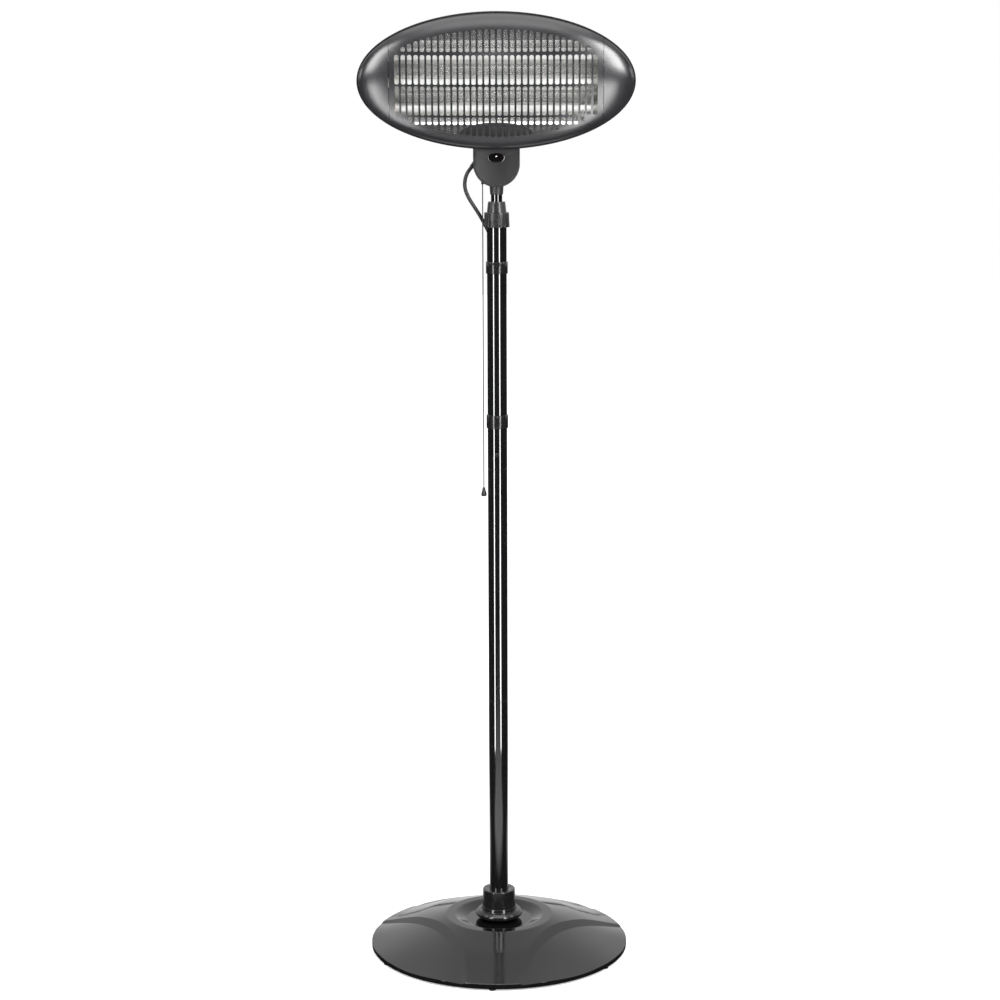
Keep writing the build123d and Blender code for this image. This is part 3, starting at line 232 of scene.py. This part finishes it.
def pan_screws(node, name, places, direction, head_radius, head_height, shank_radius, shank_length):
    """Pan head screws with a cross recess, each at the seat of its head."""
    form = bmesh.new()
    cutter = bmesh.new()
    # The head rises straight and then rounds over to a flat top.
    outline = [
        (0, -shank_length), (shank_radius, -shank_length), (shank_radius, 0), (head_radius, 0),
        (head_radius, 0.45 * head_height), (head_radius - 0.12 * head_height, 0.75 * head_height),
        (head_radius - 0.35 * head_height, 0.95 * head_height), (0.5 * head_radius, head_height),
        (0, head_height),
    ]
    # Two crossed arms cut the recess, half as deep as the head is high.
    arm_size = Matrix.Diagonal((1.1 * head_radius, 0.26 * head_radius, head_height, 1))
    on_top = Matrix.Translation((0, 0, head_height))
    for place in places:
        stand = facing(place, direction)
        lathed(form, outline, stand)
        for turn in (0, pi / 2):
            arm = bmesh.ops.create_cube(cutter, size=1)["verts"]
            turned_arm = stand @ Matrix.Rotation(turn, 4, "Z") @ on_top @ arm_size
            bmesh.ops.transform(cutter, matrix=turned_arm, verts=arm)
    bmesh.ops.recalc_face_normals(form, faces=form.faces)
    solid = as_object(form, name + "_solid")
    cut = as_object(cutter, name + "_cut")
    recess = solid.modifiers.new("recess", "BOOLEAN")
    recess.operation = "DIFFERENCE"
    recess.solver = "EXACT"
    recess.use_self = True
    recess.object = cut
    form = bmesh.new()
    form.from_object(solid, bpy.context.evaluated_depsgraph_get())
    for holder in (solid, cut):
        bpy.data.objects.remove(holder)
    fitted(form, name, black_oxide, node)


pole_face = -18.4 * mm
pole_screw_heights = (525.4 * mm, 979.7 * mm)
pan_screws("pole_screws", "pole_pan_screws", [(0, pole_face, height) for height in pole_screw_heights],
           direction=(0, -1, 0), head_radius=4.2 * mm, head_height=2.6 * mm,
           shank_radius=2.1 * mm, shank_length=5 * mm)

# ---------------------------------------------------------------- clamp nut
# The nut that squeezes the collet on the slim tube: moulded black ABS, with a ribbed grip under a
# smooth cone.

# Satin ABS: each rib of the grip shows a soft upright light.
satin_abs = finish("satin_black_abs", "#1a1a1b", roughness=0.33, grain=1.5 * mm, relief=0.01 * mm)
eased("clamp_nut", "clamp_nut_moulding", satin_abs, width=0.4 * mm)

# ---------------------------------------------------------------- cable clips
# Two rings round the pole, moulded in the same glossy ABS as the flange, each with an eye behind
# for the cord.
for clip in ("cable_clip_upper", "cable_clip_lower"):
    eased(clip, clip + "_moulding", gloss_abs, width=0.5 * mm)

# ---------------------------------------------------------------- switch box
# Two textured ABS shells screwed together from behind, on a socket that grips the slim tube.
# The pull switch, its lever and the terminal block inside are moulded in white nylon.

# Fine textured ABS: a charcoal black with wide, weak highlights.
matt_abs = finish("textured_black_abs", "#1f1f20", roughness=0.42, grain=0.9 * mm, relief=0.02 * mm)
dress(matt_abs, "neck_socket")
eased("box_rear_housing", "box_rear_moulding", matt_abs, width=0.5 * mm)

# Natural nylon: an even, slightly waxy white.
white_nylon = finish("moulded_white_nylon", "#c9c9c4", roughness=0.45, grain=1 * mm, relief=0.01 * mm)
dress(white_nylon, "pull_switch", "switch_lever", "terminal_block")

box_back = 36 * mm
upper_post_x, upper_post_z = 35.9 * mm, 1548 * mm
lower_post_x, lower_post_z = 24 * mm, 1505 * mm
post_places = [(-upper_post_x, upper_post_z), (upper_post_x, upper_post_z), (lower_post_x, lower_post_z)]
pan_screws("box_screws", "box_pan_screws", [(x, box_back, z) for x, z in post_places],
           direction=(0, 1, 0), head_radius=3.2 * mm, head_height=2 * mm,
           shank_radius=1.5 * mm, shank_length=20 * mm)
eased("box_front_cover", "box_front_moulding", matt_abs, width=0.45 * mm)

# ---------------------------------------------------------------- indicator lens
# A smoked polycarbonate lens, moulded as a low dome and set in the front of the box.
# A lamp near the camera shows in it as a small bright point.
lens_centre = (0, -15 * mm, 1537.7 * mm)
lens_half_width, lens_dome, lens_half_height = 15.75 * mm, 1.6 * mm, 8.8 * mm
lens = finish("smoked_polycarbonate_lens", "#0a0809", roughness=0.05, grain=20 * mm, relief=0.005 * mm,
              Coat_Weight=1.0, Coat_Roughness=0.02)
lens_shape = Matrix.Diagonal((lens_half_width, lens_dome, lens_half_height, 1))
form = bmesh.new()
bmesh.ops.create_uvsphere(form, u_segments=48, v_segments=24, radius=1)
bmesh.ops.transform(form, matrix=Matrix.Translation(lens_centre) @ lens_shape, verts=form.verts)
fitted(form, "indicator_lens_dome", lens, "indicator_lens")

# ---------------------------------------------------------------- cord gland
# A moulded rubber sleeve that holds the power cord where it leaves the box, low on the left.
# Its outer half is ribbed, so that it bends with the cord.
gland_mouth = Vector((-46.5, 12, 1519.3)) * mm
gland_angle = radians(50)
gland_way = Vector((-cos(gland_angle), 0, -sin(gland_angle)))
gland_length, gland_radius, gland_bore = 22 * mm, 5.4 * mm, 3.65 * mm
rib_radius, rib_taper, groove_depth = 5.3 * mm, 0.2 * mm, 0.9 * mm
groove_width, rib_slope_end, rib_end = 1.1 * mm, 1.3 * mm, 2.5 * mm
outline = [(gland_radius, 0), (gland_radius, 0.45 * gland_length)]
for rib in range(4):
    low = (0.47 + 0.135 * rib) * gland_length
    outer = rib_radius - rib * rib_taper
    inner = outer - groove_depth
    outline += [(inner, low), (inner, low + groove_width)]
    outline += [(outer, low + rib_slope_end), (outer, low + rib_end)]
outline += [(gland_bore, gland_length), (gland_bore, 0), (gland_radius, 0)]
form = bmesh.new()
lathed(form, outline, facing(gland_mouth - gland_way * gland_length, gland_way))
fitted(form, "cord_gland_ribbed", rubber, "cord_gland")

# ---------------------------------------------------------------- head's shell and front
# Oval head of drawn steel: a deep rear shell, and a domed and slotted front in one line with two
# end caps, with a rubber seal between.

# Satin powder coat: charcoal, with lamps drawn out over the dome as wide soft lights.
charcoal_coat = finish("satin_charcoal_powder_coat", "#212123", roughness=0.24, grain=1.2 * mm,
                       relief=0.004 * mm, Specular_IOR_Level=0.65)
dress(charcoal_coat, "front_bezel", "end_cap_left", "end_cap_right", "rear_shell")
dress(rubber, "rim_seal")

# ---------------------------------------------------------------- reflector
# Three troughs side by side in one sheet of polished aluminium, behind the tubes. Zinc plated
# studs carry it.

# Polished aluminium: nearly white, it shows bright and dark bands of what is in front.
polished = finish("polished_aluminium", "#f4f4f2", roughness=0.16, grain=14 * mm, relief=0.01 * mm,
                  unevenness=0.03, Metallic=0.85)
dress(polished, "reflector")
dress(zinc, "reflector_studs")

# ---------------------------------------------------------------- quartz tubes
# Three frosted quartz tubes, each round its wound heating wire, with ceramic ends that hang in
# two brackets of aluminised sheet.

# Frosted quartz: a pale, milky glass with a faint sheen.
quartz = finish("frosted_quartz", "#d8d8d6", roughness=0.35, grain=1 * mm, relief=0.01 * mm,
                Coat_Weight=0.6, Coat_Roughness=0.15)
# Resistance wire that has been hot: a brown grey oxide.
wire = finish("oxidised_resistance_wire", "#5a524c", roughness=0.6, grain=1 * mm, relief=0.02 * mm,
              Metallic=1)
for height in ("top", "middle", "bottom"):
    dress(quartz, "quartz_tube_" + height)
    dress(wire, "heating_coil_" + height)

# Unglazed steatite: cream white and dry.
ceramic = finish("unglazed_steatite", "#dcd7cc", roughness=0.6, grain=0.8 * mm, relief=0.02 * mm)
dress(ceramic, "ceramic_ends")

# Hot dipped aluminium on steel: a soft grey metal.
aluminised = finish("aluminised_steel", "#9a9a98", roughness=0.35, grain=2 * mm, relief=0.01 * mm, Metallic=1)
dress(aluminised, "tube_bracket_left", "tube_bracket_right")

# ---------------------------------------------------------------- wiring cover
# A pressed steel cover behind the lower slots, which closes the space for the wires on the
# reflector's lower flange.

# Painted steel sheet: black and plain, a little shiny.
black_plate = finish("black_painted_steel", "#2a2a2a", roughness=0.4, grain=1.2 * mm, relief=0.01 * mm)
eased("wiring_cover", "wiring_cover_pressing", black_plate, width=0.4 * mm)

# ---------------------------------------------------------------- tilt hinge and the head's screws
# A folded steel bracket, screwed to the shell's back, carries the head. It turns on a bolt in the
# box's ears, which a knob pulls tight. Four more screws in the shell hold the reflector's studs.
eased("tilt_bracket", "tilt_bracket_pressing", black_plate, width=0.4 * mm)
head_tilt = radians(6)
rim_centre = Vector((0, -73, 1680)) * mm
face_up = Vector((0, -sin(head_tilt), cos(head_tilt)))
face_out = Vector((0, -cos(head_tilt), -sin(head_tilt)))


def behind_face(x, y, depth):
    """A point behind the plane of the head's rim, in millimetres: across, up the face and back."""
    return rim_centre + (Vector((x, 0, 0)) + face_up * y - face_out * depth) * mm


bracket_depth, shell_depth = 64.5, 62
pan_screws("bracket_screws", "bracket_pan_screws",
           [behind_face(x, y, bracket_depth) for x in (-12, 12) for y in (-62, -43)], direction=-face_out,
           head_radius=3.6 * mm, head_height=2 * mm, shank_radius=2 * mm, shank_length=7.7 * mm)
pan_screws("shell_screws", "shell_pan_screws",
           [behind_face(x, y, shell_depth) for x in (-90, 90) for y in (-50, 45)], direction=-face_out,
           head_radius=3.8 * mm, head_height=2 * mm, shank_radius=1.8 * mm, shank_length=11.2 * mm)
dress(black_oxide, "tilt_bolt")
eased("tilt_knob", "tilt_knob_moulding", matt_abs, width=0.8 * mm)

# ---------------------------------------------------------------- pull cord
# A braided nylon cord that hangs straight from a glossy ABS eyelet under the box, with a small
# bell of the same ABS on its end.


def smooth_line(name, route):
    """A cord's centreline: one open spline with the route's points as its control points."""
    curve = bpy.data.curves.new(name, "CURVE")
    curve.dimensions = "3D"
    curve.resolution_u = 16
    spline = curve.splines.new("NURBS")
    spline.points.add(len(route) - 1)
    for point, place in zip(spline.points, route):
        point.co = (*place, 1)
    spline.order_u = 3
    spline.use_endpoint_u = True
    return curve


def cord_tube(name, route, diameter, material):
    """A cord as a closed mesh tube, and the points that it follows."""
    curve = smooth_line(name, route)
    holder = bpy.data.objects.new(name + "_line", curve)
    path = [vertex.co.copy() for vertex in bpy.data.meshes.new_from_object(holder).vertices]
    curve.bevel_depth = diameter / 2
    curve.bevel_resolution = 6
    curve.use_fill_caps = True
    mesh = bpy.data.meshes.new_from_object(holder)
    mesh.name = name
    bpy.data.objects.remove(holder)
    mesh.materials.clear()
    mesh.materials.append(material)
    piece = bpy.data.objects.new(name, mesh)
    bpy.context.scene.collection.objects.link(piece)
    return piece, path


dress(gloss_abs, "pull_cord_eyelet", "cord_bell")

# Braided nylon: dull, with the fine relief of its plaits.
braid = finish("black_braided_nylon", "#1c1c1c", roughness=0.7, grain=1 * mm, relief=0.05 * mm)
pull_diameter = 2 * mm
pull_x, pull_y = -0.026, -0.005
pull_top, bell_top = 1.5057, 0.9155
pull_steps = 12
pull_route = [(pull_x, pull_y, pull_top + (bell_top - pull_top) * step / pull_steps)
              for step in range(pull_steps + 1)]
pull_cord, pull_path = cord_tube("pull_cord_braided", pull_route, pull_diameter, braid)
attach(pull_cord, "pull_cord")
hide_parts("pull_cord")

# ---------------------------------------------------------------- power cord
# A 7 mm rubber sheathed lead. It bows out from the gland, goes behind the pole, down through the
# clips, over the back of the base and ends in its moulded plug on the floor.


# Rubber sheath: black, with one soft light along it.
sheath = finish("black_rubber_sheath", "#121213", roughness=0.42, grain=2 * mm, relief=0.01 * mm)
cord_diameter = 7 * mm
meeting = (0, 0.0255, 1.3478)
loop_route = [
    (-0.0465, 0.012, 1.5193), (-0.0529, 0.012, 1.5116), (-0.0573, 0.012, 1.5023),
    (-0.0593, 0.012, 1.4925), (-0.0593, 0.012, 1.4825), (-0.0569, 0.012, 1.4728),
    (-0.0518, 0.0123, 1.4619), (-0.0440, 0.013, 1.4491), (-0.0346, 0.015, 1.4349),
    (-0.0254, 0.0185, 1.4185), (-0.0173, 0.0223, 1.4022), (-0.0096, 0.0246, 1.3864),
    (-0.0034, 0.0255, 1.3724), (0, 0.0255, 1.3598), meeting,
]
drop_route = [
    meeting, (0, 0.0255, 0.186), (0.0005, 0.0295, 0.160), (0.001, 0.038, 0.136),
    (0.0015, 0.051, 0.1165), (0.002, 0.068, 0.098), (0.002, 0.090, 0.083), (0.0015, 0.116, 0.072),
    (0.001, 0.143, 0.060), (0, 0.170, 0.048), (-0.001, 0.198, 0.0375), (-0.002, 0.226, 0.030),
    (-0.002, 0.251, 0.0225), (-0.001, 0.275, 0.012), (0, 0.298, 0.005), (0.001, 0.322, 0.0037),
    (0, 0.344, 0.0038), (0, 0.3533, 0.00595),
]
cord_loop, loop_path = cord_tube("power_cord_upper", loop_route, cord_diameter, sheath)
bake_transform(cord_loop)
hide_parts("power_cord_loop")
cord_drop, drop_path = cord_tube("power_cord_lower", drop_route, cord_diameter, sheath)
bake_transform(cord_drop)
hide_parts("power_cord_drop")
eased("plug_relief", "plug_relief_moulding", sheath, width=0.4 * mm)
eased("plug_body", "plug_body_moulding", sheath, width=1.2 * mm)

# Nickel plate on brass: a warm, bright metal.
nickel = finish("nickel_plated_brass", "#c8c6be", roughness=0.2, grain=3 * mm, relief=0.005 * mm, Metallic=1)
dress(nickel, "plug_pins")

# ---------------------------------------------------------------- studio
# A plain pale floor, a white surround for the eye and for what gloss shows of it, two upright
# strip lamps in front and a soft fill.
form = bmesh.new()
bmesh.ops.create_grid(form, x_segments=1, y_segments=1, size=12)
floor = as_object(form, "floor")
floor_paint = bpy.data.materials.new("white_floor")
floor_paint.use_nodes = True
floor.data.materials.append(floor_paint)
tree = floor_paint.node_tree
paint = tree.nodes["Principled BSDF"]
paint.inputs["Base Color"].default_value = linear("#f0f0f0")
paint.inputs["Roughness"].default_value = 0.9
paint.inputs["Emission Color"].default_value = (1, 1, 1, 1)
ray = add(tree, "LightPath")
place = add(tree, "TexCoord").outputs["Object"]

# To the eye the floor turns white with distance, and keeps the base's shadow near it.
shadow_reach, white_from = 0.5, 2.2
near_glow, far_glow = 0.38, 1.0
away = add(tree, "VectorMath", {0: place}, operation="LENGTH").outputs["Value"]
glow = add(tree, "MapRange", {
    "Value": away, "From Min": shadow_reach, "From Max": white_from, "To Min": near_glow, "To Max": far_glow,
}, interpolation_type="SMOOTHSTEP").outputs["Result"]
seen_glow = add(tree, "Mix", {"Factor": ray.outputs["Is Camera Ray"], "A": 0.0, "B": glow})
tree.links.new(seen_glow.outputs["Result"], paint.inputs["Emission Strength"])

# Gloss sees the floor dark, apart from a bright patch in front of the base and one behind it.
# They are the light bands of the reflector.
ramp_front, ramp_back = -2.6, 1.4
patch_inner, patch_outer, patch_level, dark_level = 0.5, 0.8, 0.9, 0.03
apart = add(tree, "SeparateXYZ", {"Vector": place})
along = add(tree, "MapRange", {
    "Value": apart.outputs["Y"], "From Min": ramp_front, "From Max": ramp_back,
}).outputs["Result"]
aside = add(tree, "Math", {0: apart.outputs["X"]}, operation="ABSOLUTE").outputs["Value"]
across = add(tree, "MapRange", {
    "Value": aside, "From Min": patch_inner, "From Max": patch_outer, "To Min": patch_level, "To Max": 0.0,
}, interpolation_type="SMOOTHSTEP").outputs["Result"]
patches = add(tree, "ValToRGB", {"Fac": along})
ramp = patches.color_ramp
ramp.elements[0].position, ramp.elements[1].position = 0.0, 0.98
ramp.elements[0].color, ramp.elements[1].color = (0, 0, 0, 1), (0, 0, 0, 1)
for position, value in ((0.18, 0.2), (0.38, 0.8), (0.49, 1), (0.55, 0), (0.69, 0), (0.73, 1), (0.87, 1)):
    ramp.elements.new(position).color = (value, value, value, 1)
lit_patch = add(tree, "Math", {0: patches.outputs["Color"], 1: across}, operation="MULTIPLY").outputs["Value"]
card_level = add(tree, "Math", {0: lit_patch, 1: dark_level}, operation="ADD").outputs["Value"]
card = add(tree, "Emission", {"Color": (1, 1, 1, 1), "Strength": card_level})
blended = add(tree, "MixShader", {
    0: ray.outputs["Is Glossy Ray"], 1: paint.outputs["BSDF"], 2: card.outputs["Emission"],
})
tree.links.new(blended.outputs["Shader"], tree.nodes["Material Output"].inputs["Surface"])

# The surround is white to the eye and gives an even fill. Gloss sees it dark in front and at the
# sides, and white above and behind.
fill_level, dark_side, bright_side = 0.28, 0.025, 1.0
world = bpy.data.worlds.new("studio")
bpy.context.scene.world = world
world.use_nodes = True
tree = world.node_tree
background = tree.nodes["Background"]
background.inputs["Color"].default_value = (1, 1, 1, 1)
ray = add(tree, "LightPath")
towards = add(tree, "SeparateXYZ", {"Vector": add(tree, "TexCoord").outputs["Generated"]})
behind, raised, overhead = [
    add(tree, "MapRange", {"Value": towards.outputs[axis], "From Min": low, "From Max": high},
        interpolation_type="SMOOTHSTEP").outputs["Result"]
    for axis, low, high in (("Y", 0.05, 0.35), ("Z", -0.05, 0.0), ("Z", 0.5, 0.7))
]
back_wall = add(tree, "Math", {0: behind, 1: raised}, operation="MULTIPLY").outputs["Value"]
bright = add(tree, "Math", {0: back_wall, 1: overhead}, operation="MAXIMUM").outputs["Value"]
mirrored = add(tree, "MapRange", {"Value": bright, "To Min": dark_side, "To Max": bright_side})
seen = add(tree, "Math", {
    0: ray.outputs["Is Camera Ray"], 1: ray.outputs["Is Transmission Ray"],
}, operation="MAXIMUM").outputs["Value"]
unseen_level = add(tree, "Mix", {
    "Factor": ray.outputs["Is Glossy Ray"], "A": fill_level, "B": mirrored.outputs["Result"],
}).outputs["Result"]
surround = add(tree, "Mix", {"Factor": seen, "A": unseen_level, "B": 1.0})
tree.links.new(surround.outputs["Result"], background.inputs["Strength"])


def soft_box(name, place, target, width, height, level):
    """A rectangular lamp turned towards a point; level is the brightness that gloss shows of it."""
    light = bpy.data.lights.new(name, "AREA")
    light.shape = "RECTANGLE"
    light.size = width
    light.size_y = height
    light.energy = 4 * width * height * level
    made = bpy.data.objects.new(name, light)
    made.location = place
    made.rotation_euler = (Vector(target) - Vector(place)).to_track_quat("-Z", "Y").to_euler()
    made.visible_camera = False
    bpy.context.scene.collection.objects.link(made)


def round_pole(distance, azimuth, height):
    """A place in front of the pole, turned from the front by an azimuth in degrees."""
    return (distance * sin(radians(azimuth)), -distance * cos(radians(azimuth)), height)


# Two strips draw the pole's upright streaks.
strip_low, strip_high = 0.05, 1.45
strip_middle = (strip_low + strip_high) / 2
for side, azimuth in (("left", -40), ("right", 31)):
    soft_box("strip_" + side, round_pole(1.2, azimuth, strip_middle), (0, 0, strip_middle),
             width=0.22, height=strip_high - strip_low, level=10)

# Two lamps higher up light the end caps, and one small one puts the point of light on the lens.
for side, azimuth, level in (("left", -44, 12), ("right", 40, 19)):
    soft_box("cap_light_" + side, round_pole(1.5, azimuth, 2.1), (0, 0, 1.68),
             width=0.4, height=0.8, level=level)
soft_box("lens_glint", (0, -3.2, 1.8), (0, 0, 1.54), width=0.12, height=0.12, level=40)

# One lamp at each side for the petals' steps, then two wide and weak ones from above.
for side, x in (("left", -1.8), ("right", 1.8)):
    soft_box("petal_light_" + side, (x, -0.3, 1.85), (0, -0.1, 0), width=0.5, height=0.5, level=4)
soft_box("front_top", (0, -1.6, 3.2), (0, -0.07, 1.6), width=1.6, height=0.8, level=2.0)
soft_box("overhead", (0, -0.4, 4.2), (0, 0, 0), width=3, height=2.5, level=1.4)

# The camera stands in front, about as high as the head, and looks down.
camera_place = (0.0045, -4.690, 1.783)
camera_down, camera_lean = 10.78, -0.19
camera_data = bpy.data.cameras.new("camera")
camera_data.lens = 90.18
camera_data.sensor_width = 36
camera = bpy.data.objects.new("camera", camera_data)
camera.matrix_world = (
    Matrix.Translation(camera_place)
    @ Matrix.Rotation(radians(90 - camera_down), 4, "X")
    @ Matrix.Rotation(radians(camera_lean), 4, "Z")
)
bpy.context.scene.collection.objects.link(camera)
bpy.context.scene.camera = camera
bpy.context.scene.view_settings.view_transform = "Standard"
